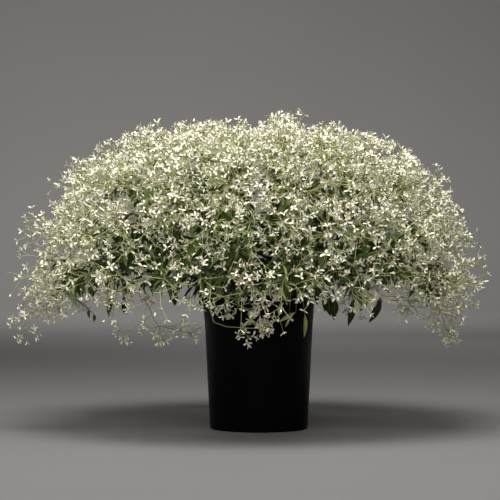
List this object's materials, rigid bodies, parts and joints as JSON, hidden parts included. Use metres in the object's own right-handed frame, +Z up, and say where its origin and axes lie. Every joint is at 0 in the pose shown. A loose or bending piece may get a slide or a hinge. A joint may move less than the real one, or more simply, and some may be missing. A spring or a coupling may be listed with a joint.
{
  "type": "potted euphorbia graminea",
  "caption": "Potted euphorbia graminea: a wide, airy mound of thin forking stems covered in small creamy white bracts, in a plain black nursery pot.",
  "frame": {"origin": "middle of the pot's underside", "axes": "+Z up, +X to the right and -Y towards the viewer as pictured"},
  "size_m": [0.6668, 0.6417, 0.4392],
  "materials": {
    "pot": "moulded black plastic, satin",
    "soil": "loose peat potting mix with pale grains",
    "foliage": "soft green leaves on green to reddish stems",
    "flowers": "creamy white bracts on thin pale green stalks"
  },
  "bodies": {
    "root": {"nursery_pot": "pot", "soil": "soil", "leafy_stem_01": "foliage", "leafy_stem_02": "foliage", "leafy_stem_03": "foliage", "leafy_stem_04": "foliage", "leafy_stem_05": "foliage", "leafy_stem_06": "foliage", "leafy_stem_07": "foliage", "leafy_stem_08": "foliage", "leafy_stem_09": "foliage", "leafy_stem_10": "foliage", "leafy_stem_11": "foliage", "leafy_stem_12": "foliage", "leafy_stem_13": "foliage", "leafy_stem_14": "foliage", "leafy_stem_15": "foliage", "leafy_stem_16": "foliage", "flower_spray_01_a": "flowers", "flower_spray_01_b": "flowers", "flower_spray_02_a": "flowers", "flower_spray_02_b": "flowers", "flower_spray_03_a": "flowers", "flower_spray_03_b": "flowers", "flower_spray_04_a": "flowers", "flower_spray_04_b": "flowers", "flower_spray_05_a": "flowers", "flower_spray_05_b": "flowers", "flower_spray_06_a": "flowers", "flower_spray_06_b": "flowers", "flower_spray_07_a": "flowers", "flower_spray_07_b": "flowers", "flower_spray_08_a": "flowers", "flower_spray_08_b": "flowers", "flower_spray_09_a": "flowers", "flower_spray_09_b": "flowers", "flower_spray_10_a": "flowers", "flower_spray_10_b": "flowers", "flower_spray_11_a": "flowers", "flower_spray_11_b": "flowers", "flower_spray_12_a": "flowers", "flower_spray_12_b": "flowers", "flower_spray_13_a": "flowers", "flower_spray_13_b": "flowers", "flower_spray_14_a": "flowers", "flower_spray_14_b": "flowers", "flower_spray_15_a": "flowers", "flower_spray_15_b": "flowers", "flower_spray_16_a": "flowers", "flower_spray_16_b": "flowers"}
  },
  "joints": []
}
